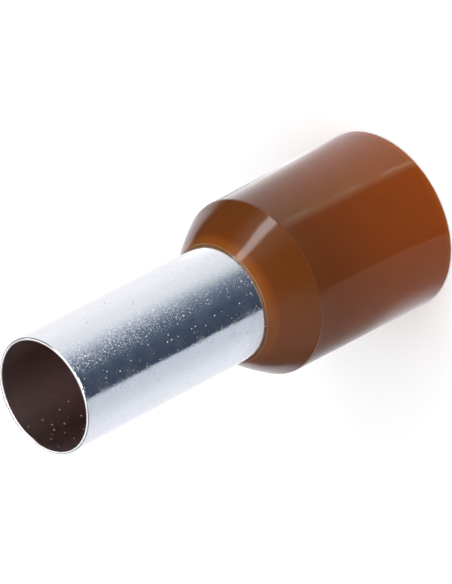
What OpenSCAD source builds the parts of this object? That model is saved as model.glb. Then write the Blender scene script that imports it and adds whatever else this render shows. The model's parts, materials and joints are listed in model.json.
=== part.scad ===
// Insulated wire ferrule: a thin tinned copper tube held in the nose of a plastic collar.
// The stripped strands fill the tube, and the wire's own insulation goes into the collar.
// It stands on the collar's rear rim, with +Z along the axis towards the tube's mouth.
// All sizes are in millimetres.

/* [Metal sleeve] */
// Inside diameter of the tube, which takes the bare strands
sleeve_bore = 7.3; // [5:0.1:8.5]
// Thickness of the tube's wall
sleeve_wall = 0.2; // [0.15:0.01:0.35]
// Length of bare tube in front of the collar
sleeve_reach = 15.7; // [8:0.1:26]
// Radius on both edges of the mouth
mouth_round = 0.07; // [0.02:0.01:0.07]
// Angle between the flared end and the axis, which is also that of the seat under it
flare_angle = 45; // [35:1:55]
// Radius of the bend on the side that lies on the collar
flare_bend = 0.6; // [0.3:0.05:0.9]
// Angle at which the tube opens inside the nose, as the moulded grip round it does
grip_draft = 2; // [1:0.5:4]

/* [Insulating collar] */
// Diameter of the straight bore, which takes the wire's insulation
collar_bore = 11.2; // [10:0.1:13]
// Length of the body, from the rear rim to the shoulder
body_length = 11.9; // [8:0.1:18]
// Length of the cone, from the shoulder to the lip
cone_length = 2.86; // [2.4:0.02:4]
// Thickness of the wall at the rear rim
rear_wall = 0.45; // [0.35:0.01:0.8]
// Thickness of the wall at the shoulder, less than at the rear by the mould's draft
shoulder_wall = 0.3; // [0.25:0.01:0.6]
// How far the middle of the cone stands out from a straight line between its ends
cone_crown = 0.09; // [0.02:0.01:0.15]
// Radius of that crown across the cone
crown_round = 15; // [2:1:20]
// Thickness of the lip where the cone ends on the tube
lip_wall = 0.17; // [0.12:0.01:0.3]
// How far behind the shoulder the seat for the flare begins
seat_depth = 0.4; // [0.2:0.05:1]
// Radius on the edge of the shoulder
shoulder_round = 0.4; // [0.1:0.05:0.9]
// Radius on the edge of the lip
lip_round = 0.12; // [0.02:0.01:0.12]
// Radius on both edges of the rear rim
rim_round = 0.13; // [0.04:0.01:0.15]
// Radius in the corner where the bore meets the seat for the flare
seat_round = 0.3; // [0.1:0.05:0.5]

/* [Clearance] */
// Gap all round between the edge of the flare and the bore for the insulation
flare_gap = 0.35; // [0.2:0.05:0.7]

/* [Hidden] */
// Steps of each rounded corner, and of a full turn
arc_steps = 6;
turn_steps = 128;

// Radii
tube_r = sleeve_bore / 2 + sleeve_wall;
bore_r = collar_bore / 2;
flare_r = bore_r - flare_gap;

// Heights above the rear rim
lip_z = body_length + cone_length;
mouth_z = lip_z + sleeve_reach;

seat_start_z = body_length - seat_depth;

// Radius at which the seat and the drafted grip meet: the two lines solved for their crossing
grip_rise = tan(grip_draft);
seat_drop = 1 / tan(flare_angle);
grip_reach = lip_z - seat_start_z - bore_r * seat_drop;
grip_r = (tube_r + grip_rise * grip_reach) / (1 - grip_rise * seat_drop);

// Height of the seat at radius r: it narrows from the bore to the grip, and the flare lies on it
function seat_z(r) = seat_start_z + (bore_r - r) * seat_drop;

// Unit vector from point a towards point b
function toward(a, b) = (b - a) / norm(b - a);

// Points of the arc of radius r that rounds corner b between its neighbours a and c
function corner_arc(a, b, c, r) =
    r == 0 ? [b] :
    let (
        back = toward(b, a),
        on = toward(b, c),
        half = acos(back * on) / 2,
        turn = 180 - 2 * half,
        centre = b + toward([0, 0], back + on) * r / sin(half),
        first = b + back * r / tan(half) - centre,
        last = b + on * r / tan(half) - centre
    )
    [
        for (i = [0 : arc_steps])
            let (swept = turn * i / arc_steps)
            centre + (first * sin(turn - swept) + last * sin(swept)) / sin(turn)
    ];

// Outline of a closed section, from corners given as [radius, height, rounding]
function rounded(corners) =
    let (n = len(corners))
    [
        for (i = [0 : n - 1])
            let (
                before = corners[(i + n - 1) % n],
                here = corners[i],
                after = corners[(i + 1) % n]
            )
            each corner_arc([before.x, before.y], [here.x, here.y], [after.x, after.y], here.z)
    ];

// Unit vector square to the way from a to b, on the right of that way
function right_of(a, b) = let (way = toward(a, b)) [way.y, -way.x];

// Corners of a sheet of even thickness on the right of a path of such corners
function sheet(path, thickness) =
    let (
        last = len(path) - 1,
        place = [for (corner = path) [corner.x, corner.y]]
    )
    [
        each path,
        for (i = [last : -1 : 0])
            let (
                before = right_of(place[max(i - 1, 0)], place[max(i, 1)]),
                after = right_of(place[min(i, last - 1)], place[min(i + 1, last)]),
                moved = place[i] + thickness * (before + after) / (1 + before * after),
                end = i == 0 || i == last
            )
            [moved.x, moved.y, path[i].z == 0 || end ? path[i].z : path[i].z + thickness]
    ];

// Solid of revolution about the Z axis from such corners
module turned(corners) {
    rotate_extrude($fn = turn_steps)
        polygon(rounded(corners));
}

// Tinned copper tube: straight from the mouth to the lip, then gripped, then flared on the seat
module metal_sleeve() {
    outer_face = [
        [tube_r, mouth_z, mouth_round],
        [tube_r, lip_z, 0],
        [grip_r, seat_z(grip_r), flare_bend],
        [flare_r, seat_z(flare_r), mouth_round]
    ];
    color("silver")
        turned(sheet(outer_face, sleeve_wall));
}

// Moulded collar: body with draft, shoulder and crowned cone outside, bore, seat and grip inside
module insulating_collar() {
    shoulder = [bore_r + shoulder_wall, body_length];
    lip = [tube_r + lip_wall, lip_z];
    crown = (shoulder + lip) / 2 + cone_crown * right_of(shoulder, lip);
    color("saddlebrown")
        turned([
            [bore_r, 0, rim_round],
            [bore_r + rear_wall, 0, rim_round],
            [shoulder.x, shoulder.y, shoulder_round],
            [crown.x, crown.y, crown_round],
            [lip.x, lip.y, lip_round],
            [tube_r, lip_z, 0],
            [grip_r, seat_z(grip_r), flare_bend],
            [bore_r, seat_z(bore_r), seat_round]
        ]);
}

metal_sleeve();
insulating_collar();
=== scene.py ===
# %% [markdown]
# # An insulated wire ferrule
#
# A wire ferrule is a thin tube of tinned copper with a plastic collar. Stripped strands go in
# through the collar, fill the tube and are crimped in it. This one stands on the rear rim of its
# collar, with the open mouth of the tube at the top.
#
# The two solid parts are already measured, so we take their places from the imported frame. Here we
# turn both again as fine smooth meshes, finish them, light them and place the camera.

# %% Load the solid parts
import json
import math

import bmesh
import bpy
from mathutils import Matrix, Vector


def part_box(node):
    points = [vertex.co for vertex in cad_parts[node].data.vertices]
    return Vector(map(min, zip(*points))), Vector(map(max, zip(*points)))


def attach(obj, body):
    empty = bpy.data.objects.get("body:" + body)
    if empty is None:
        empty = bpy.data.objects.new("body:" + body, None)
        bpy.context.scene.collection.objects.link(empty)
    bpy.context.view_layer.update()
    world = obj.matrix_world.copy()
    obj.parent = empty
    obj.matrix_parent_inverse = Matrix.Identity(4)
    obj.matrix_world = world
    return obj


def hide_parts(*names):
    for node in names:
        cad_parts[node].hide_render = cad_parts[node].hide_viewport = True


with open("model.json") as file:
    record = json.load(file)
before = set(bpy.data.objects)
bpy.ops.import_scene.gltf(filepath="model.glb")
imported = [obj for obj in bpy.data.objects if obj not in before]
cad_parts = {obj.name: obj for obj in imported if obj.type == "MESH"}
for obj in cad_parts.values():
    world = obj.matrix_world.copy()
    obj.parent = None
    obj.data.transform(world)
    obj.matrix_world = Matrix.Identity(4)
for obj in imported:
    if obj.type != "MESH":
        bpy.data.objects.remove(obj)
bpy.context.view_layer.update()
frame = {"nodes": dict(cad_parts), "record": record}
MM = 0.001
print("parts:", sorted(frame["nodes"]))

# %% [markdown]
# ## Sizes from the frame
#
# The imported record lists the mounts, which are the round faces where something else fits: the
# tube's bore, its outside, and the collar's bore. We could type these sizes in again, but then the
# fine meshes could drift away from the solid parts. So the radii and the two boxes are read from
# the frame. The few sizes that no mount gives, such as the shoulder's height, are named further
# down, where each is first needed.

# %% Sizes from the frame
mounts = {mount["name"]: mount["dims"] for mount in frame["record"]["mounts"]}
tube_bore = mounts["conductor_bore"]["r_mm"]
tube_out = mounts["crimp_sleeve"]["r_mm"]
collar_bore = mounts["insulation_bore"]["r_mm"]
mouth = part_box("metal_sleeve")[1].z / MM
rear_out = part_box("insulating_collar")[1].x / MM
lip_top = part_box("insulating_collar")[1].z / MM
print("radii: tube", tube_bore, "to", tube_out, "mm, collar's bore", collar_bore, "mm")
print("heights: mouth", round(mouth, 2), "mm, lip", round(lip_top, 2), "mm")

# %% [markdown]
# ## The camera first
#
# The camera looks down at the ferrule and leans over on its side, so that the standing tube points
# to the lower left of the picture. A long lens far away keeps the tube's sides almost parallel, as
# in a close product shot. We could turn the camera by hand until it looks right, but two plain
# angles, how far it looks down and how far it leans, say the same and can be changed one by one.

# %% Camera
VIEW_DOWN = math.radians(38.68)
VIEW_LEAN = math.radians(-117.52)
VIEW_DISTANCE = 460.3 * MM
LENS = 453.2
AIM = Vector((0.5 * MM, 0, 14.0 * MM))

eye = bpy.data.cameras.new("eye")
eye.lens = LENS
eye.sensor_width = 36
eye.clip_start = 0.01
eye.clip_end = 10
camera = bpy.data.objects.new("camera", eye)
bpy.context.scene.collection.objects.link(camera)
tip_up = Matrix.Rotation(math.radians(90) - VIEW_DOWN, 4, "X")
lean = Matrix.Rotation(VIEW_LEAN, 4, "Z")
back = Vector((0, -math.cos(VIEW_DOWN), math.sin(VIEW_DOWN))) * VIEW_DISTANCE
camera.matrix_world = Matrix.Translation(AIM + back) @ tip_up @ lean
bpy.context.scene.camera = camera
print("camera at", [round(c / MM, 1) for c in camera.matrix_world.translation], "mm")

# %% [markdown]
# ## Writing node trees as sums
#
# Materials and Geometry Nodes are both trees of small nodes. Wiring them one by one hides the
# idea, so we wrap a socket in a small class: a sum on it adds the Math node for us, and
# `1 - mask` reads as it would on paper. Every other node comes from one method, `node`.

# %% A socket that can be used in a sum
class Socket:
    """One output of a node tree, with the usual signs for its Math nodes."""

    def __init__(self, maker, socket):
        self.maker = maker
        self.socket = socket

    def __add__(self, other):
        return self.maker.math("ADD", self, other)

    def __sub__(self, other):
        return self.maker.math("SUBTRACT", self, other)

    def __rsub__(self, other):
        return self.maker.math("SUBTRACT", other, self)

    def __mul__(self, other):
        return self.maker.math("MULTIPLY", self, other)

    def __truediv__(self, other):
        return self.maker.math("DIVIDE", self, other)

    def __rtruediv__(self, other):
        return self.maker.math("DIVIDE", other, self)

    def __mod__(self, other):
        return self.maker.math("FLOORED_MODULO", self, other)

    __radd__ = __add__
    __rmul__ = __mul__


print("a socket now knows + - * / and %")

# %% A maker of nodes
class Maker:
    """Adds nodes to one tree: a material's, the world's or a Geometry Nodes group."""

    def __init__(self, tree):
        self.tree = tree
        tree.nodes.clear()

    def node(self, kind, settings=None, inputs=None, output=0):
        """Add a node, make its settings, then feed its inputs, and return one output."""
        made = self.tree.nodes.new(kind)
        for name, setting in (settings or {}).items():
            if name == "stops":
                self.set_stops(made.color_ramp, setting)
            else:
                setattr(made, name, setting)
        for name, value in (inputs or {}).items():
            self.feed(made.inputs[name], value)
        return Socket(self, made.outputs[output]) if len(made.outputs) else None

    def feed(self, entry, value):
        if isinstance(value, Socket):
            self.tree.links.new(value.socket, entry)
        else:
            entry.default_value = value

    def set_stops(self, ramp, stops):
        while len(ramp.elements) < len(stops):
            ramp.elements.new(1)
        for element, (position, colour) in zip(ramp.elements, stops):
            element.position = position
            element.color = (*colour, 1)

    def math(self, operation, *values):
        settings = {"operation": operation}
        return self.node("ShaderNodeMath", settings, dict(enumerate(values)))

    def smooth(self, value, low, high):
        """0 below low, 1 above high, and a soft step between them."""
        settings = {"interpolation_type": "SMOOTHSTEP"}
        inputs = {"Value": value, "From Min": low, "From Max": high}
        return self.node("ShaderNodeMapRange", settings, inputs)

    def blend(self, factor, first, second):
        """Mix two colours."""
        inputs = {0: factor, 6: first, 7: second}
        return self.node("ShaderNodeMix", {"data_type": "RGBA"}, inputs, output=2)

    def parts(self, vector):
        """The three numbers of a vector."""
        split = self.node("ShaderNodeSeparateXYZ", inputs={0: vector})
        return [Socket(self, out) for out in split.socket.node.outputs]


print("helpers ready: node, feed, math, smooth, blend, parts")

# %% [markdown]
# ## One rule for both pieces: a section turned about the axis
#
# The tube is drawn and the collar is moulded, but both are round, so one section and one turn
# describe each of them. Blender's Screw modifier would turn a profile too. We use Geometry Nodes
# instead, because the same tree can round every corner by its own radius, cut the long walls
# finely enough for small dents, and roughen the rim, all from named inputs.
#
# Each corner of a section is a point with a rounding of its own, kept as an attribute. First we
# make the rounded curve. A side longer than Longest face is cut into shorter ones.

# %% Rounding the corners
def rounded_section(make, given):
    """The section's corners as a closed curve, each rounded, and cut on its long sides."""
    radius = make.node("GeometryNodeInputNamedAttribute", inputs={"Name": "rounding"})
    curve = make.node("GeometryNodeMeshToCurve", inputs={"Mesh": given["Section"]})
    inputs = {"Curve": curve, "Count": given["Arc steps"], "Radius": radius}
    curve = make.node("GeometryNodeFilletCurve", {"mode": "POLY"}, inputs)
    here = make.node("GeometryNodeInputPosition")
    after = make.node("GeometryNodeOffsetPointInCurve", inputs={"Offset": 1}, output=1)
    settings = {"data_type": "FLOAT_VECTOR"}
    there = make.node("GeometryNodeFieldAtIndex", settings, {"Value": here, "Index": after})
    inputs = {0: here, 1: there}
    side = make.node("ShaderNodeVectorMath", {"operation": "DISTANCE"}, inputs, output=1)
    cuts = make.math("FLOOR", side / given["Longest face"])
    return make.node("GeometryNodeSubdivideCurve", inputs={"Curve": curve, "Cuts": cuts})


print("a section's corners can be rounded")

# %% [markdown]
# Then we lay a grid round the axis. Its columns are the steps of the turn and its rows are the
# points of the curve. The first row and column come again at the end, and welding those doubles
# closes both seams.

# %% Laying a grid round the axis
def turned_skin(make, curve, turn_steps):
    """A grid with one column for each step of the turn, laid on the section and welded shut."""
    settings = {"component": "CURVE"}
    round_steps = make.node("GeometryNodeAttributeDomainSize", settings, {"Geometry": curve})
    inputs = {"Vertices X": turn_steps + 1, "Vertices Y": round_steps + 1}
    grid = make.node("GeometryNodeMeshGrid", inputs=inputs)
    index = make.node("GeometryNodeInputIndex")
    column = make.math("FLOOR", index / (round_steps + 1))
    row = (index % (round_steps + 1)) % round_steps
    spot = make.node("GeometryNodeInputPosition")
    settings = {"data_type": "FLOAT_VECTOR", "domain": "POINT"}
    inputs = {"Geometry": curve, "Value": spot, "Index": row}
    on_section = make.node("GeometryNodeSampleIndex", settings, inputs)
    inputs = {"Vector": on_section, "Angle": (column % turn_steps) / turn_steps * math.tau}
    turned = make.node("ShaderNodeVectorRotate", {"rotation_type": "Z_AXIS"}, inputs)
    skin = make.node("GeometryNodeSetPosition", inputs={"Geometry": grid, "Position": turned})
    return make.node("GeometryNodeMergeByDistance", inputs={"Geometry": skin, "Distance": 1e-7})


print("a grid can be laid on a section")

# %% [markdown]
# ## A skin that is a little uneven
#
# No drawn tube and no moulding is perfectly round. Long low waves bend the highlights a little.
# They only sink in, so the skin never leaves the solid part's box. Where the tube was cut off, a
# fine burr stands on two stretches of the outer edge of its mouth. We push the points there
# outwards on noise, which leaves small beads.

# %% Where the burr stands
BEAD_SIZE = 0.11 * MM
BEAD_SEED_STEP = 5
BURR_DEPTH = 0.18 * MM
BURR_FADE = 0.05 * MM
# The middle of each stretch round the mouth, and how far the burr reaches on either side of it
BURRS = [
    (math.radians(170), math.radians(40)),
    (math.radians(-4), math.radians(12)),
]
print("burrs round", [round(math.degrees(middle)) for middle, _ in BURRS], "degrees")

# %% Waves and burr
def seeded_noise(make, spot, size, seed, detail):
    """Noise whose fourth coordinate is the seed, so each piece gets its own."""
    inputs = {"Vector": spot, "W": seed, "Scale": 1 / size, "Detail": detail}
    return make.node("ShaderNodeTexNoise", {"noise_dimensions": "4D"}, inputs)


def burr_mask(make, x, y, z, given):
    """1 on the outer edge of the mouth, within the stretches that have a burr."""
    turn = make.math("ARCTAN2", x, 0 - y)
    stretch = 0
    for middle, spread in BURRS:
        away = make.math("ABSOLUTE", (turn - middle + math.pi) % math.tau - math.pi)
        stretch = stretch + (1 - make.smooth(away, spread / 2, spread))
    radius = make.math("SQRT", x * x + y * y)
    outer = make.smooth(radius, given["Burr radius"], given["Burr radius"] + BURR_FADE)
    top = given["Burr height"]
    return stretch * outer * make.smooth(z, top - BURR_DEPTH, top - BURR_DEPTH / 3)


def uneven_skin(make, skin, given):
    """Sink the skin in long low waves, and push the burr's beads outwards."""
    spot = make.node("GeometryNodeInputPosition")
    x, y, z = make.parts(spot)
    wave = (seeded_noise(make, spot, given["Wave size"], given["Seed"], 1) - 1) * given["Wave"]
    bead = seeded_noise(make, spot, BEAD_SIZE, given["Seed"] + BEAD_SEED_STEP, 2)
    bead = make.smooth(bead, 0.38, 0.58)
    push = wave + bead * burr_mask(make, x, y, z, given) * given["Burr"]
    outwards = make.node("ShaderNodeCombineXYZ", inputs={"X": x, "Y": y})
    outwards = make.node("ShaderNodeVectorMath", {"operation": "NORMALIZE"}, {0: outwards})
    offset = make.node("ShaderNodeVectorMath", {"operation": "SCALE"}, {0: outwards, "Scale": push})
    return make.node("GeometryNodeSetPosition", inputs={"Geometry": skin, "Offset": offset})


print("a skin can be waved and burred")

# %% [markdown]
# ## The whole tree
#
# The tree's inputs are named, so a piece is only a section and a few sizes. It ends in Realize
# Instances and Set Material, which leaves one plain mesh with its finish.

# %% Turning tree
def turning_tree():
    """A Geometry Nodes tree that makes a whole piece from a section."""
    tree = bpy.data.node_groups.new("turn a section", "GeometryNodeTree")
    wanted = [
        ("Section", "NodeSocketGeometry"),
        ("Turn steps", "NodeSocketInt"),
        ("Arc steps", "NodeSocketInt"),
        ("Longest face", "NodeSocketFloat"),
        ("Wave", "NodeSocketFloat"),
        ("Wave size", "NodeSocketFloat"),
        ("Burr", "NodeSocketFloat"),
        ("Burr height", "NodeSocketFloat"),
        ("Burr radius", "NodeSocketFloat"),
        ("Seed", "NodeSocketFloat"),
        ("Finish", "NodeSocketMaterial"),
    ]
    for title, kind in wanted:
        tree.interface.new_socket(title, in_out="INPUT", socket_type=kind)
    tree.interface.new_socket("Piece", in_out="OUTPUT", socket_type="NodeSocketGeometry")

    make = Maker(tree)
    entry = make.node("NodeGroupInput").socket.node
    given = {title: Socket(make, entry.outputs[title]) for title, _ in wanted}
    curve = rounded_section(make, given)
    skin = turned_skin(make, curve, given["Turn steps"])
    skin = uneven_skin(make, skin, given)
    skin = make.node("GeometryNodeSetShadeSmooth", inputs={"Geometry": skin})
    skin = make.node("GeometryNodeRealizeInstances", inputs={"Geometry": skin})
    inputs = {"Geometry": skin, "Material": given["Finish"]}
    skin = make.node("GeometryNodeSetMaterial", inputs=inputs)
    make.node("NodeGroupOutput", inputs={"Piece": skin})
    return tree


turning = turning_tree()
print("turning tree:", len(turning.nodes), "nodes")

# %% [markdown]
# ## Finishes
#
# A finish could be an image wrapped round the piece, but then it would need a seam and would blur
# when seen from near. Here every finish starts as one Principled shader whose constants sit on its
# own sockets. What varies over the surface reads each point's own place in metres, so a mark keeps
# its real size and stays where it is, however the piece is seen.

# %% Starting a finish
def new_finish(name, constants):
    """A material with one Principled shader, and the socket for each point's own place."""
    material = bpy.data.materials.new(name)
    material.use_nodes = True
    make = Maker(material.node_tree)
    shader = make.node("ShaderNodeBsdfPrincipled")
    for title, value in constants.items():
        shader.socket.node.inputs[title].default_value = value
    make.node("ShaderNodeOutputMaterial", inputs={"Surface": shader})
    place = make.node("ShaderNodeTexCoord", output="Object")
    return material, make, shader.socket.node, place


def noise(make, place, size, detail=2.0):
    """Soft noise from 0 to 1 whose spots are about size wide, in metres."""
    inputs = {"Vector": place, "Scale": 1 / size, "Detail": detail}
    return make.node("ShaderNodeTexNoise", inputs=inputs)


print("finishes can be started")

# %% [markdown]
# Dust and dents lie here and there, never in rows. Both are scattered by Voronoi cells. Each cell
# has a chance number of its own, so comparing it with a share keeps only some of the cells, and a
# second number varies size or depth. Thin scuffs follow soft noise where it crosses its middle.

# %% Scattered marks
def scattered(make, place, spacing, share):
    """How far the nearest cell's middle is, in cells, its chance size, and 1 if it is kept."""
    inputs = {"Vector": place, "Scale": 1 / spacing}
    far = make.node("ShaderNodeTexVoronoi", inputs=inputs, output="Distance")
    chance, size, _ = make.parts(Socket(make, far.socket.node.outputs["Color"]))
    return far, size, make.math("LESS_THAN", chance, share)


def specks(make, place, spacing, radius, share):
    """1 on small round specks."""
    far, size, kept = scattered(make, place, spacing, share)
    return make.math("LESS_THAN", far, radius / spacing * (0.5 + size)) * kept


def dimples(make, place, spacing, radius, share):
    """Round hollows of chance depth, 1 at their middle and 0 from their radius outwards."""
    far, depth, kept = scattered(make, place, spacing, share)
    return (1 - make.smooth(far, 0.0, radius / spacing)) * kept * depth


def winding_lines(make, place, size, half_width):
    """Thin winding lines, where soft noise crosses its middle level."""
    off_line = make.math("ABSOLUTE", noise(make, place, size, detail=1) - 0.5)
    return 1 - make.smooth(off_line, half_width * 0.4, half_width)


print("specks, dimples and winding lines")

# %% [markdown]
# ## Tinned copper
#
# The tube is copper with a thin skin of tin. Tin that was dipped and wiped is bright but never
# quite smooth. We could paint the marks as colour, but what the eye sees on a mirror is bent
# reflections. So the grain, the ripple and the dents are heights, added up for one Bump node.
#
# Three places wear differently: the bore, the side on which tubes rub each other in the bag, and
# the ring in front of the collar's lip, which scratches the tube as it is pushed in. A mask for
# each is 1 on that place and falls softly to 0 beside it.

# %% Where the tin is worn
# Each pair is where a soft step starts and ends: degrees round the axis, or heights in mm
RUB_STARTS, RUB_ENDS = (-8, 18), (26, 42)
MOUTH_HALF = (18, 26)
SCRATCH_STARTS, SCRATCH_ENDS = (-9, -5), (12, 16)
SCRATCH_HEIGHT = (lip_top + 1.0, lip_top + 0.7)
BORE_MARGIN = 0.03


def tin_places(make, place):
    """Masks for the bore, the rubbed side, how near the mouth, and the ring by the lip."""
    x, y, z = make.parts(place)
    height = z / MM
    turn = make.math("ARCTAN2", x, 0 - y) * math.degrees(1)
    inside = make.math("LESS_THAN", x * x + y * y, ((tube_bore + BORE_MARGIN) * MM) ** 2)
    outside = 1 - inside
    rubbed = make.smooth(turn, *RUB_STARTS) * (1 - make.smooth(turn, *RUB_ENDS)) * outside
    near_mouth = make.smooth(height, *MOUTH_HALF)
    by_lip = make.smooth(height, *SCRATCH_HEIGHT) * outside
    by_lip = by_lip * make.smooth(turn, *SCRATCH_STARTS) * (1 - make.smooth(turn, *SCRATCH_ENDS))
    return inside, rubbed, near_mouth, by_lip


print("three worn places on the tin")

# %% [markdown]
# The heights are small, from 2 to 16 thousandths of a millimetre, but a mirror doubles each slope.
# Grain is everywhere and coarser where the tin was rubbed. A slow ripple makes the reflections
# swim, and two sizes of dents break them up.

# %% Heights of the tin
GRAIN_HIGH = 0.0025 * MM
RUBBED_GRAIN_HIGH = 0.0105 * MM
RIPPLE_HIGH = 0.016 * MM
SMALL_DENT_DEEP = 0.009 * MM
LARGE_DENT_DEEP = 0.010 * MM


def tin_heights(make, place, rubbed, near_mouth):
    """The height of the tin at each point, in metres."""
    grain = noise(make, place, size=0.10 * MM)
    ripple = noise(make, place, size=1.6 * MM)
    small = dimples(make, place, spacing=0.17 * MM, radius=0.060 * MM, share=0.45)
    large = dimples(make, place, spacing=0.40 * MM, radius=0.090 * MM, share=0.35)
    rough = rubbed * (0.5 + 0.5 * near_mouth)
    height = grain * (GRAIN_HIGH + rough * RUBBED_GRAIN_HIGH) + ripple * RIPPLE_HIGH
    return height - small * SMALL_DENT_DEEP - large * LARGE_DENT_DEEP


print("grain, ripple, small and large dents")

# %% [markdown]
# Some marks are no mirror at all: dust, white specks on the rubbed side that are painted glints,
# the scratches by the lip, and a thin film in the bore. Their strength lowers Metallic, which lets
# the pale Base Color show as paint would.

# %% White marks and painted glints on the tin
# How white the painted glints on the rubbed side are by the collar, and how much more by the mouth
GLINTS_BY_COLLAR, GLINTS_MORE = 0.30, 0.42
# How strong the dust in the bore is on its high side, and how much more on its low side
DUST_HIGH_SIDE, DUST_MORE = 0.14, 0.66
FILM_AT_SIDES, FILM_MORE = 0.006, 0.056
MOTTLE_FILM = 0.022


def tin_whites(make, place, inside, rubbed, near_mouth, by_lip):
    """How much of each point is dust, painted glints, film and scratches."""
    x, _, _ = make.parts(place)
    fine = noise(make, place, size=0.080 * MM, detail=1)
    # Painted glints: white specks on the rubbed side stand in for the glints of its rough tin.
    painted_glints = make.smooth(fine + 0.09 * rubbed, 0.64, 0.71) * make.smooth(rubbed, 0.03, 0.5)
    painted_glints = painted_glints * (GLINTS_BY_COLLAR + GLINTS_MORE * near_mouth)
    outside_dust = specks(make, place, spacing=0.29 * MM, radius=0.032 * MM, share=0.52)
    low_side = make.smooth(x, 1.0 * MM, -1.2 * MM)
    inside_dust = specks(make, place, spacing=0.27 * MM, radius=0.036 * MM, share=0.60)
    inside_dust = inside_dust * inside * (DUST_HIGH_SIDE + DUST_MORE * low_side)
    dust = make.math("MAXIMUM", outside_dust * (1 - inside), inside_dust)
    middle = 1 - make.smooth(make.math("ABSOLUTE", x), 0.2 * MM, 3.2 * MM)
    mottle = make.smooth(noise(make, place, size=1.1 * MM), 0.42, 0.66) * (1 - inside)
    film = inside * (FILM_AT_SIDES + FILM_MORE * middle) + mottle * MOTTLE_FILM
    few = make.smooth(noise(make, place, size=0.5 * MM, detail=1), 0.48, 0.54)
    scratches = winding_lines(make, place, size=0.45 * MM, half_width=0.025) * by_lip * few
    return dust, painted_glints, film, scratches


print("dust, white grains, film and scratches")

# %% [markdown]
# The colour of a metal tints what it mirrors. Tin is nearly neutral, with thin grey scuffs and a
# few dark pits. In the bore the same light is mirrored again and again and picks up the brown of
# the collar behind it, so there a painted reflection makes the colour browner, and more so deep
# down. Dust in the bore is painted warmer for the same brown light.

# %% Colour of the tin
DULL_TIN = (0.83, 0.84, 0.86, 1)
BRIGHT_TIN = (0.89, 0.90, 0.91, 1)
SCUFF_GREY = (0.40, 0.41, 0.45, 1)
BORE_PAINTED_BROWN_AT_MOUTH = (0.80, 0.70, 0.69, 1)
BORE_PAINTED_BROWN_DEEP_DOWN = (0.84, 0.65, 0.63, 1)
DUST_OUTSIDE = (0.93, 0.95, 1.0, 1)
DUST_INSIDE_PAINTED_WARM = (1.0, 0.90, 0.86, 1)


def tin_colour(make, place, inside, white):
    """Clean tin with thin grey scuffs and dark pits, a painted brown reflection in the bore, pale
    dust.
    """
    _, _, z = make.parts(place)
    tone = make.blend(noise(make, place, size=0.5 * MM, detail=3), DULL_TIN, BRIGHT_TIN)
    few = make.smooth(noise(make, place, size=1.3 * MM), 0.60, 0.67)
    scuffs = winding_lines(make, place, size=0.9 * MM, half_width=0.014) * few
    pits = specks(make, place, spacing=0.62 * MM, radius=0.045 * MM, share=0.30)
    marks = make.math("MAXIMUM", scuffs * 0.45, pits * 0.75)
    tone = make.blend(marks, tone, SCUFF_GREY)
    deep = make.smooth(z, 30.0 * MM, 26.0 * MM)
    # Painted reflection: the bore is tinted brown for the collar it mirrors, more so deep down.
    tone = make.blend(inside, tone, make.blend(deep, BORE_PAINTED_BROWN_AT_MOUTH, BORE_PAINTED_BROWN_DEEP_DOWN))
    # The dust in the bore is painted warmer, for the brown light there.
    return make.blend(white, tone, make.blend(inside, DUST_OUTSIDE, DUST_INSIDE_PAINTED_WARM))


print("clean tin, scuffs, pits and dust")

# %% [markdown]
# Now we feed the shader: the heights through Bump into Normal, the marks into Metallic, and the
# colour. Roughness is low, a little higher in hazy spots, on the rubbed side and in the bore.

# %% Tin skin
def tin_skin():
    """The tube's finish: a mirror with fine heights, and marks that are no mirror."""
    material, make, shader, place = new_finish("tinned_copper", {"Metallic": 1.0})
    inside, rubbed, near_mouth, by_lip = tin_places(make, place)
    height = tin_heights(make, place, rubbed, near_mouth)
    inputs = {"Height": height, "Distance": 1.0, "Strength": 1.0}
    make.feed(shader.inputs["Normal"], make.node("ShaderNodeBump", inputs=inputs))
    dust, painted_glints, film, scratches = tin_whites(make, place, inside, rubbed, near_mouth, by_lip)
    # White is the dust together with the painted glints.
    white = make.math("MAXIMUM", dust, painted_glints)
    not_metal = make.math("MAXIMUM", make.math("MAXIMUM", white, film), scratches * 0.8)
    make.feed(shader.inputs["Metallic"], 1 - not_metal)
    make.feed(shader.inputs["Base Color"], tin_colour(make, place, inside, white))
    hazy = make.smooth(noise(make, place, size=0.9 * MM), 0.45, 0.70) * (1 - inside)
    make.feed(shader.inputs["Roughness"], 0.08 + 0.12 * hazy + 0.08 * rubbed + 0.12 * inside)
    return material


tin = tin_skin()
print("finish:", tin.name, len(tin.node_tree.nodes), "nodes")

# %% [markdown]
# ## Brown plastic
#
# The collar is a thin moulding in a soft, slightly clear plastic. Light gets into it, so its thin
# places glow amber: the lip where it ends on the tube, and the rear rim. A clear shader with a
# filled inside could show that too, but it is slow and noisy in so thin a wall. So we give the
# shader a constant amount of light under the skin, and the amber glow is painted into the colour,
# which follows the height of each point. The lip is painted darker on the side where the tube
# shades it.

# %% Colour of the plastic
# Each stop is a share of the collar's height and the colour there. The stops paint the amber glow
# of the thin rear rim and lip.
RIM_TO_LIP_PAINTED_GLOW = [
    (0.000, (0.05, 0.025, 0.008)),
    (0.006, (0.42, 0.095, 0.004)),
    (0.040, (0.33, 0.066, 0.004)),
    (0.300, (0.28, 0.058, 0.004)),
    (0.700, (0.175, 0.042, 0.005)),
    (0.850, (0.160, 0.044, 0.006)),
    (0.955, (0.175, 0.044, 0.006)),
    (0.985, (0.29, 0.078, 0.008)),
    (0.996, (0.30, 0.085, 0.012)),
    (1.000, (0.27, 0.130, 0.050)),
]
CLOUD_BROWN = (0.10, 0.024, 0.004, 1)
SHADED_LIP = (0.15, 0.045, 0.008, 1)
NOSE = (0.955, 0.985)


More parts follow.
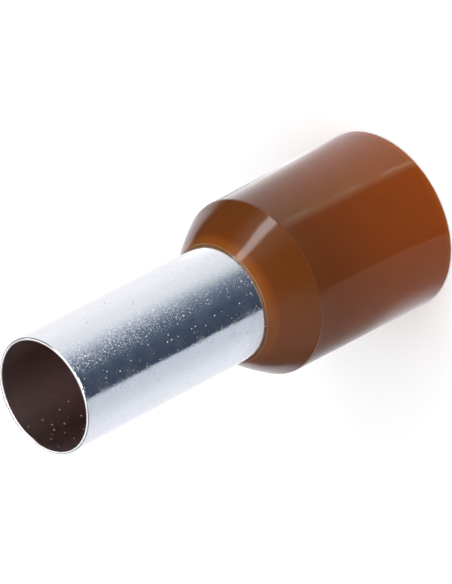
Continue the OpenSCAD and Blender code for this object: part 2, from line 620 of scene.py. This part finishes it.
def plastic_colour(make, place):
    """Brown by height with a painted amber glow, a little cloudy, and painted shade on the lip's
    shaded side.
    """
    x, _, z = make.parts(place)
    climb = z / (lip_top * MM)
    # Painted glow: the ramp makes the thin rim and lip amber, as light through them would.
    colour = make.node("ShaderNodeValToRGB", {"stops": RIM_TO_LIP_PAINTED_GLOW}, {"Fac": climb})
    cloud = noise(make, place, size=2.5 * MM)
    clouded = make.blend(0.2 * cloud, colour, CLOUD_BROWN)
    # Painted shade on the lip, on the side where the tube shades it.
    shaded = make.smooth(x, -0.4 * MM, -3.0 * MM) * make.smooth(climb, *NOSE)
    return make.blend(0.55 * shaded, clouded, SHADED_LIP)


print("plastic colours:", len(RIM_TO_LIP_PAINTED_GLOW), "stops from the rim to the lip")

# %% Collar plastic
UNDER_SKIN = {
    "IOR": 1.56,
    "Subsurface Weight": 0.35,
    "Subsurface Radius": (1.0, 0.35, 0.12),
    "Subsurface Scale": 0.5 * MM,
}
SINK_HIGH = 0.010 * MM
MOULD_GRAIN_HIGH = 0.0006 * MM


def collar_plastic():
    """The collar's finish: smooth brown plastic with light under its skin."""
    material, make, shader, place = new_finish("brown_plastic", UNDER_SKIN)
    make.feed(shader.inputs["Base Color"], plastic_colour(make, place))
    patches = noise(make, place, size=0.6 * MM, detail=3)
    make.feed(shader.inputs["Roughness"], 0.08 + 0.08 * patches)
    sinks = noise(make, place, size=2.2 * MM, detail=1)
    grain = noise(make, place, size=0.15 * MM)
    inputs = {"Height": sinks * SINK_HIGH + grain * MOULD_GRAIN_HIGH, "Distance": 1.0, "Strength": 1.0}
    make.feed(shader.inputs["Normal"], make.node("ShaderNodeBump", inputs=inputs))
    return material


plastic = collar_plastic()
print("finish:", plastic.name, len(plastic.node_tree.nodes), "nodes")

# %% [markdown]
# ## The tube
#
# The tube is one sheet of even thickness. It runs straight from its mouth to the collar's lip,
# opens a little inside the nose and flares where it rests on the collar's seat. First we find
# where the nose's grip meets the seat: each is a straight line in the section, so their crossing
# is one division.

# %% Sizes of the joint between tube and collar
SHOULDER = 11.9
SEAT_DEPTH = 0.4
SEAT_START = SHOULDER - SEAT_DEPTH
GRIP_DRAFT = math.radians(2)
GRIP_RISE = math.tan(GRIP_DRAFT)


def seat_height(radius):
    """The 45 degree seat under the flare, which starts at the collar's bore."""
    return SEAT_START + collar_bore - radius


grip_out = (tube_out + GRIP_RISE * (lip_top - seat_height(0))) / (1 - GRIP_RISE)
print("the grip meets the seat at radius", round(grip_out, 3), "mm")

# %% [markdown]
# A solid tube with a drilled bore would get a wall that is thicker at the bend. A real tube is a
# sheet, so we walk along its outer face and step the same path in by the wall for its inner face.
# A bend's inner rounding then grows by the wall, which keeps the sheet even round the bend.

# %% A sheet of even thickness from a path
def right_of(first, second):
    """The way that points to the right of the walk from the first corner to the second."""
    way = Vector(second[:2]) - Vector(first[:2])
    way.normalize()
    return Vector((way.y, -way.x))


def sheet(path, wall):
    """Close a path of corners with its own copy, stepped to the right by the wall."""
    back = []
    for i, (radius, height, rounding) in enumerate(path):
        before = right_of(path[max(i - 1, 0)], path[max(i, 1)])
        after = right_of(path[min(i, len(path) - 2)], path[min(i + 1, len(path) - 1)])
        step = wall * (before + after) / (1 + before.dot(after))
        at_bend = rounding and 0 < i < len(path) - 1
        back.append((radius + step.x, height + step.y, rounding + (wall if at_bend else 0)))
    return path + back[::-1]


print("a path can be made a sheet")

# %% The tube's section
# Each corner is a radius, a height and the rounding of that corner, in mm
FLARE_BEND = 0.6
FLARE_GAP = 0.35
EDGE_ROUND = 0.07
flare_out = collar_bore - FLARE_GAP
tube_section = sheet([
    (tube_out, mouth, EDGE_ROUND),
    (tube_out, mouth - BURR_DEPTH / MM, 0),
    (tube_out, lip_top, 0),
    (grip_out, seat_height(grip_out), FLARE_BEND),
    (flare_out, seat_height(flare_out), EDGE_ROUND),
], tube_out - tube_bore)
print("tube section:", len(tube_section), "corners")

# %% [markdown]
# ## From a section to a piece
#
# A section is a mesh of bare corners and sides. The modifier turns it, and its inputs are set by
# the sockets' identifiers before it is first evaluated. We keep the result as a plain mesh, check
# that it is closed, and let it ride on the one body in place of the solid part. A turn can come
# out with its faces inwards, so the check looks at the sign of the volume.

# %% Checking a skin
def close_and_face_out(mesh):
    """Check that the skin is closed, and turn it the right way round if it is inside out."""
    skin = bmesh.new()
    skin.from_mesh(mesh)
    if skin.calc_volume(signed=True) < 0:
        bmesh.ops.reverse_faces(skin, faces=skin.faces)
    open_edges = sum(not edge.is_manifold for edge in skin.edges)
    volume = round(skin.calc_volume() / MM ** 3, 1)
    print(mesh.name, len(skin.faces) * 2, "triangles,", open_edges, "open edges,", volume, "mm3")
    skin.to_mesh(mesh)
    skin.free()


print("skins can be checked")

# %% Turning a section into a piece
def turned(name, node, section, slot, finish, sizes):
    """Run the turning tree on a section, keep its mesh, and stand it in for the solid part."""
    outline = bpy.data.meshes.new(name + "_section")
    corners = [(radius * MM, 0, height * MM) for radius, height, _ in section]
    sides = [(i, (i + 1) % len(section)) for i in range(len(section))]
    outline.from_pydata(corners, sides, [])
    rounding = outline.attributes.new("rounding", "FLOAT", "POINT")
    rounding.data.foreach_set("value", [corner[2] * MM for corner in section])
    blank = bpy.data.objects.new(name + "_section", outline)
    bpy.context.scene.collection.objects.link(blank)
    modifier = blank.modifiers.new("turn", "NODES")
    modifier.node_group = turning
    sockets = {item.name: item.identifier for item in turning.interface.items_tree}
    for title, value in {**sizes, "Finish": finish}.items():
        modifier[sockets[title]] = value
    seen = blank.evaluated_get(bpy.context.evaluated_depsgraph_get())
    mesh = bpy.data.meshes.new_from_object(seen)
    bpy.data.objects.remove(blank)
    mesh.name = name
    close_and_face_out(mesh)
    piece = bpy.data.objects.new(name, mesh)
    bpy.context.scene.collection.objects.link(piece)
    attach(piece, "root")
    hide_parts(node)


print("sections can be turned")

# %% Turn the tube
turned("tinned_tube", "metal_sleeve", tube_section, "tinned_copper", tin, {
    "Turn steps": 448,
    "Arc steps": 6,
    "Longest face": 0.5 * MM,
    "Wave": 0.006 * MM,
    "Wave size": 3.0 * MM,
    "Burr": 0.10 * MM,
    "Burr height": mouth * MM,
    "Burr radius": tube_bore * MM + BURR_FADE,
    "Seed": 2.0,
})

# %% [markdown]
# ## The collar
#
# The collar is one moulding: a body with a little draft, a rounded shoulder, a cone with a slight
# crown and a thin lip on the tube. A cone could be a plain straight side, but the real one bulges
# a little, so its middle is one more corner with a very wide rounding. Inside, the collar has the
# bore for the wire's insulation, the seat for the flare and the grip round the tube, so that light
# inside it behaves as in the real thing.

# %% The collar's section
SHOULDER_WALL = 0.3
LIP_WALL = 0.17
CONE_CROWN = 0.09
RIM_ROUND = 0.13
SHOULDER_ROUND = 0.4
CROWN_ROUND = 15
LIP_ROUND = 0.05
SEAT_ROUND = 0.3
shoulder = Vector((collar_bore + SHOULDER_WALL, SHOULDER))
lip = Vector((tube_out + LIP_WALL, lip_top))
crown = (shoulder + lip) / 2 + CONE_CROWN * right_of(shoulder, lip)
collar_section = [
    (collar_bore, 0, RIM_ROUND),
    (rear_out, 0, RIM_ROUND),
    (*shoulder, SHOULDER_ROUND),
    (*crown, CROWN_ROUND),
    (*lip, LIP_ROUND),
    (tube_out, lip_top, 0),
    (grip_out, seat_height(grip_out), FLARE_BEND),
    (collar_bore, seat_height(collar_bore), SEAT_ROUND),
]
print("collar section:", len(collar_section), "corners")

# %% Turn the collar
turned("moulded_collar", "insulating_collar", collar_section, "brown_plastic", plastic, {
    "Turn steps": 256,
    "Arc steps": 12,
    "Longest face": 0.7 * MM,
    "Wave": 0.010 * MM,
    "Wave size": 4.0 * MM,
    "Burr": 0.0,
    "Burr height": 0.0,
    "Burr radius": 0.0,
    "Seed": 7.0,
})

# %% [markdown]
# ## Things that only mirrors see
#
# A bright tube has next to no colour of its own: what we see on it is its surroundings. A
# photographer would stand black and white cards round it. We do the same with plates that the
# camera, the shadows and the soft light don't see, so that only mirrors show them.

# %% Plates of the stage
def stage_plate(name, corners, faces, finish):
    """A flat mesh that belongs to the stage and not to the ferrule."""
    mesh = bpy.data.meshes.new(name)
    mesh.from_pydata(corners, [], faces)
    mesh.materials.append(finish)
    plate = bpy.data.objects.new(name, mesh)
    bpy.context.scene.collection.objects.link(plate)
    return plate


def mirror_only(plate):
    """Hide a plate from everything but mirrors."""
    plate.visible_camera = False
    plate.visible_diffuse = False
    plate.visible_transmission = False
    plate.visible_shadow = False


def glow(name):
    """A material that only gives light, its light node, and each point's own place."""
    material = bpy.data.materials.new(name)
    material.use_nodes = True
    make = Maker(material.node_tree)
    light = make.node("ShaderNodeEmission", output="Emission")
    make.node("ShaderNodeOutputMaterial", inputs={"Surface": light})
    return material, make, light.socket.node, make.node("ShaderNodeTexCoord", output="Object")


print("plates can be made")

# %% [markdown]
# ## The table
#
# The ferrule stands on a plain white table, which keeps its shadow. More lamps would make the
# table white too, but they would also wash out the ferrule. So the table has a little glow of its
# own, which only the camera and mirrors see.

# %% White table
TABLE_PAINT = (0.85, 0.85, 0.85, 1)
TABLE_GLOW = 0.32
TABLE_HALF = 3.0
TABLE_DROP = -0.02 * MM

table_finish = bpy.data.materials.new("white_table")
table_finish.use_nodes = True
make = Maker(table_finish.node_tree)
paint = make.node("ShaderNodeBsdfDiffuse", inputs={"Color": TABLE_PAINT})
ray = make.node("ShaderNodeLightPath").socket.node
seen = 0
for kind in ("Is Camera Ray", "Is Glossy Ray", "Is Transmission Ray"):
    seen = make.math("MAXIMUM", seen, Socket(make, ray.outputs[kind]))
lift = make.node("ShaderNodeEmission", inputs={"Strength": seen * TABLE_GLOW}, output="Emission")
both = make.node("ShaderNodeAddShader", inputs={0: paint, 1: lift})
make.node("ShaderNodeOutputMaterial", inputs={"Surface": both})

sides = ((-1, -1), (1, -1), (1, 1), (-1, 1))
corners = [(x * TABLE_HALF, y * TABLE_HALF, TABLE_DROP) for x, y in sides]
stage_plate("table", corners, [range(4)], table_finish)
print("table:", 2 * TABLE_HALF, "m wide")

# %% [markdown]
# Both the sheet on the table and the wall of the room go all the way round the ferrule. One helper
# makes either: a band between two circles, flat when they differ in radius and upright when they
# differ in height. A band also leaves the spot under the ferrule's foot free, as a plate wouldn't.

# %% Rings for mirrors
RING_SIDES = 96


def mirror_ring(name, first, second, finish):
    """A band of flat faces round the axis, from one radius and height to another."""
    corners = []
    for radius, height in (first, second):
        for i in range(RING_SIDES):
            turn = math.tau * i / RING_SIDES
            corners.append((radius * math.cos(turn), radius * math.sin(turn), height))
    faces = []
    for i in range(RING_SIDES):
        j = (i + 1) % RING_SIDES
        faces.append((i, RING_SIDES + i, RING_SIDES + j, j))
    mirror_only(stage_plate(name, corners, faces, finish))
    print(name, "from radius", first[0], "to", second[0], "m")


print("rings of", RING_SIDES, "sides")

# %% [markdown]
# ## The mirror sheet
#
# On the table lies a second sheet for mirrors alone. A wall that is seen from above mirrors the
# points of the table that lie ahead of it, twice as far round as the wall itself has turned. So a
# dark wedge on the sheet becomes a dark band along the tube, a soft edge of the wedge becomes a
# soft edge of the band, and the band runs straight because every side of a wedge points at the
# axis. We write the tones down by azimuth: 0 is the camera's side, and 90 is +X.

# %% Mirror sheet: how far out, and which way
# In mm from the axis
COLLAR_ZONE = 18
TUBE_ZONE = 24

sheet_finish, make, light, place = glow("mirror_sheet")
x, y, _ = make.parts(place)
reach = make.math("SQRT", x * x + y * y)
azimuth = make.math("ARCTAN2", x, 0 - y) * math.degrees(1)
far = make.smooth(reach, COLLAR_ZONE * MM, TUBE_ZONE * MM)
print("the collar mirrors up to", COLLAR_ZONE, "mm out, and the tube past", TUBE_ZONE, "mm")

# %% [markdown]
# The tube mirrors the farther zone. One side of its dark band is crisp, where a card would end,
# and the other side fades over sixty degrees. A ramp can't take a negative azimuth, so it gets the
# share of the whole turn.

# %% Mirror sheet: the wedge that the tube mirrors
def whole_turn(make, azimuth, stops):
    """A colour for each azimuth from -180 to 180 degrees."""
    placed = [((degrees + 180) / 360, colour) for degrees, colour in stops]
    return make.node("ShaderNodeValToRGB", {"stops": placed}, {"Fac": (azimuth + 180) / 360})


far_tone = whole_turn(make, azimuth, [
    (-180, (1.00, 1.00, 1.03)),
    (-100, (0.85, 0.88, 0.96)),
    (-66, (0.66, 0.70, 0.77)),
    (-44, (0.60, 0.65, 0.73)),
    (-40.5, (0.048, 0.060, 0.096)),
    (-5, (0.058, 0.082, 0.127)),
    (18, (0.105, 0.145, 0.215)),
    (32, (0.24, 0.285, 0.37)),
    (45, (0.53, 0.57, 0.67)),
    (57, (0.78, 0.81, 0.87)),
    (75, (0.88, 0.89, 0.94)),
    (105, (1.00, 1.00, 1.05)),
    (180, (1.00, 1.00, 1.03)),
])
print("the tube's band: crisp at azimuth -42, soft from -5 to 57")

# %% [markdown]
# The collar stands on the sheet and mirrors it from close by, so there a wedge from the axis would
# curl. Its two edges start at feet beside the collar instead, and each tone is worked out from the
# angle off such an edge. The right edge wavers a little, because a moulding is never quite even.

# %% Mirror sheet: the two edges that the collar mirrors
# Each edge passes its foot, in mm, on its way to an azimuth, and starts a little behind the foot
RIGHT_FOOT, RIGHT_TURN = (3.2, -6.3), 53
LEFT_FOOT, LEFT_TURN = (-3.4, -6.2), -40
START_BACK = 3
WAVER = 0.12


def beside(make, x, y, foot, azimuth):
    """The angle of each point off a line past a foot, above 0 on its left, in radians."""
    turn = math.radians(azimuth)
    across, ahead = x - foot[0] * MM, y - foot[1] * MM
    along = across * math.sin(turn) - ahead * math.cos(turn)
    left = across * math.cos(turn) + ahead * math.sin(turn)
    return make.math("ARCTAN2", left, along + START_BACK * MM)


right_edge = beside(make, x, y, RIGHT_FOOT, RIGHT_TURN)
left_edge = beside(make, x, y, LEFT_FOOT, LEFT_TURN)
wavy_edge = right_edge + (noise(make, place, size=3.0 * MM) - 0.5) * WAVER
print("the collar's wedge: from azimuth", LEFT_TURN, "to", RIGHT_TURN)

# %% [markdown]
# Between the two edges the sheet is as dark as an unlit room. Left of them it is a grey card that
# turns white further round. Right of them it is white with a warm start, and brighter than white
# at the back, where it gives the collar its pale outline. These tones are only for the collar.

# %% Mirror sheet: the tones that the collar mirrors
UNLIT = (0.050, 0.066, 0.105, 1)
GREY_CARD = (0.36, 0.36, 0.37, 1)
WARM_CARD = (0.73, 0.81, 0.65, 1)
WHITE = (0.97, 0.98, 1.02, 1)
BACK_GLOW = (1.95, 2.0, 2.05, 1)

close_in = make.smooth(reach, 14 * MM, 8 * MM)
left_side = make.smooth(left_edge + 0.45 * close_in, -1.25, -2.3)
left_tone = make.blend(left_side, GREY_CARD, WHITE)
left_tone = make.blend(close_in * make.smooth(left_edge, -1.0, -1.6), left_tone, WHITE)
right_tone = make.blend(make.smooth(right_edge, 0.0, 1.2), WARM_CARD, WHITE)
right_tone = make.blend(make.smooth(azimuth, 90, 140), right_tone, BACK_GLOW)
near_tone = make.blend(make.smooth(wavy_edge, -0.22, -0.01), UNLIT, right_tone)
near_tone = make.blend(make.smooth(left_edge, -0.005, -0.055), near_tone, left_tone)
print("the collar mirrors a grey card on the left and a white one on the right")

# %% [markdown]
# A thin bright line lies along the right edge, like the side of a thick card. It comes and goes in
# patches, and the tube doesn't mirror it.

# %% Mirror sheet: the patchy line
LINE_STARTS = (-0.06, 0.0)
LINE_ENDS = (0.02, 0.10)

patchy = make.smooth(noise(make, place, size=2.6 * MM, detail=1), 0.45, 0.56)
line = make.smooth(wavy_edge, *LINE_STARTS) * (1 - make.smooth(wavy_edge, *LINE_ENDS))
line = line * patchy * (1 - far)
print("the line is", round(LINE_ENDS[1] - LINE_STARTS[0], 2), "radians wide with its soft sides")

# %% [markdown]
# The collar's cone faces upwards, so its sides mirror the far table and the room. There the sheet
# darkens with reach: early at the two sides, later in front and behind, and to a soft grey at the
# back on the left, which gives the lower edge of the cone its dull rim.

# %% Mirror sheet: where it ends, and its light
SHEET_START = 6.1 * MM
SHEET_END = 2.0
SHEET_HEIGHT = TABLE_DROP / 2
SHARP_END, SHARP_LOSS = (46 * MM, 84 * MM), 0.93
SOFT_END, SOFT_LOSS = (41 * MM, 66 * MM), 0.78
# In front and behind, the sheet ends this much further out
FURTHER = 80 * MM
LINE_GLOW = 1.2
FAR_TABLE = (0.80, 0.80, 0.82, 1)

in_front = 1 - make.smooth(make.math("ABSOLUTE", azimuth - 10), 55, 75)
behind = make.smooth(make.math("ABSOLUTE", azimuth), 150, 168)
left_back = make.smooth(azimuth, -95, -112) * make.smooth(azimuth, -170, -150)
sharp_end = make.smooth(reach - FURTHER * (in_front + behind), *SHARP_END)
soft_end = make.smooth(reach, *SOFT_END)
fall = sharp_end * SHARP_LOSS * (1 - left_back) + soft_end * SOFT_LOSS * left_back

tone = make.blend(far, near_tone, far_tone)
beyond = make.smooth(reach, 60 * MM, 80 * MM) * in_front
make.feed(light.inputs["Color"], make.blend(beyond, tone, FAR_TABLE))
make.feed(light.inputs["Strength"], (1 + line * LINE_GLOW) * (1 - fall))
mirror_ring("mirror_sheet", (SHEET_START, SHEET_HEIGHT), (SHEET_END, SHEET_HEIGHT), sheet_finish)

# %% [markdown]
# ## Light
#
# One large lamp overhead does most of the work. The upright walls don't mirror it, because they
# mirror the table, and its soft shadow falls behind the ferrule. A narrow strip and a low fill
# light the collar from both sides. Mirrors don't see these two: a real strip lamp would draw a
# ruled rectangle, so the room's wall gets a strip of its own, whose shape we can draw freely.

# %% A lamp that faces a spot
def lamp(name, spot, aim, size, strength, roll=0.0):
    """A rectangular lamp at a spot, facing the aim. Strength is what its face glows at."""
    light = bpy.data.lights.new(name, "AREA")
    light.shape = "RECTANGLE"
    light.size = size[0]
    light.size_y = size[1]
    light.energy = strength * math.pi * size[0] * size[1]
    holder = bpy.data.objects.new(name, light)
    bpy.context.scene.collection.objects.link(holder)
    facing = (Vector(aim) - Vector(spot)).to_track_quat("-Z", "Y").to_matrix().to_4x4()
    turn = Matrix.Rotation(roll, 4, "Z")
    holder.matrix_world = Matrix.Translation(Vector(spot)) @ facing @ turn
    return holder


def towards(azimuth, elevation, distance):
    """A spot seen from the ferrule. Azimuth 0 is the camera's side, and 90 is +X."""
    turn = math.radians(azimuth)
    rise = math.radians(elevation)
    flat = math.cos(rise) * distance
    return Vector((math.sin(turn) * flat, -math.cos(turn) * flat, math.sin(rise) * distance))


print("lamps can be placed by azimuth, elevation and distance")

# %% Lamps
STRIP_ROLL = math.radians(-20)
heart = Vector((0, 0, 13 * MM))
lamp("overhead", heart + towards(15, 68, 0.9), heart, size=(1.1, 1.1), strength=2.5)
strip_spot = heart + towards(57, 21, 0.5)
fill_spot = heart + towards(-55, 24, 0.9)
side_lamps = [
    lamp("strip", strip_spot, heart, size=(0.075, 0.36), strength=4.4, roll=STRIP_ROLL),
    lamp("low_fill", fill_spot, heart, size=(0.5, 0.35), strength=0.78),
]
for side_lamp in side_lamps:
    side_lamp.visible_glossy = False
print("lamps:", 1 + len(side_lamps))

# %% [markdown]
# ## The room that mirrors see
#
# A round wall stands for the room. An image of a studio could light the mirrors instead, but we
# want to choose each tone. The wall is nearly black, with a soft pale side on the left, a paler
# stretch behind, and a dim glow round the strip.

# %% Wall of the room
WALL_AWAY = 0.7
WALL_HIGH = 0.56
UNLIT_WALL = 0.05

wall_finish, make, light, place = glow("room_wall")
x, y, z = make.parts(place)
azimuth = make.math("ARCTAN2", x, 0 - y) * math.degrees(1)
left_wall = make.smooth(azimuth, -12, -62) * (0.40 - 0.20 * make.smooth(azimuth, -85, -130))
round_strip = make.smooth(azimuth, 16, 48) * (1 - make.smooth(azimuth, 66, 88)) * 0.42
back_wall = make.smooth(make.math("ABSOLUTE", azimuth), 150, 178) * 0.6
walls = UNLIT_WALL + left_wall + round_strip + back_wall
print("wall:", WALL_AWAY, "m away,", WALL_HIGH, "m high")

# %% [markdown]
# The strip on the wall gives the cone its one bright streak. It leans, is narrower at the top, and
# has slightly ragged sides, so the streak isn't ruled with a knife.

# %% The strip on the wall
STRIP_AT_FOOT = 59.5
STRIP_LEAN = 6.0
STRIP_HALF_WIDE = 6.6
STRIP_TAPER = 1.5
STRIP_RAGGED = 3
STRIP_GLOW = 4.5

climb = z / WALL_HIGH
ragged = (noise(make, place, size=0.05) - 0.5) * STRIP_RAGGED
off_strip = make.math("ABSOLUTE", azimuth - (STRIP_AT_FOOT - STRIP_LEAN * climb) + ragged)
half_wide = STRIP_HALF_WIDE - STRIP_TAPER * climb
in_strip = 1 - make.smooth(off_strip / half_wide, 0.75, 1.15)
make.feed(light.inputs["Strength"], walls + in_strip * STRIP_GLOW)
mirror_ring("room_wall", (WALL_AWAY, 0), (WALL_AWAY, WALL_HIGH), wall_finish)

# %% [markdown]
# The rim of the mouth is a thin rounded ring that faces up, so it mirrors what stands high behind
# the ferrule. A pale panel there draws it as a bright line.

# %% A pale panel behind
PANEL_GLOW = 1.3

panel_finish, make, light, _ = glow("back_panel")
make.feed(light.inputs["Strength"], PANEL_GLOW)
middle = towards(180, 45, 0.9)
across = Vector((0.6, 0, 0))
upwards = Vector((0, -0.3, 0.3))
corners = [middle - across - upwards, middle + across - upwards]
corners += [middle + across + upwards, middle - across + upwards]
mirror_only(stage_plate("back_panel", corners, [range(4)], panel_finish))
print("panel: 45 degrees up,", round(middle.length, 2), "m away")

# %% [markdown]
# ## The dim room
#
# Last comes a weak even light from all sides, as the walls of a real room give. It keeps the
# shaded side of the collar from going black. Standard is the plain view transform: it shows each
# colour about as it is written, where the filmic ones would dull the white table.

# %% Room light and view
ROOM_LIGHT = 0.15

world = bpy.data.worlds.new("room")
bpy.context.scene.world = world
world.use_nodes = True
background = world.node_tree.nodes["Background"]
background.inputs["Color"].default_value = (1, 1, 1, 1)
background.inputs["Strength"].default_value = ROOM_LIGHT
bpy.context.scene.view_settings.view_transform = "Standard"
print("room light:", ROOM_LIGHT)
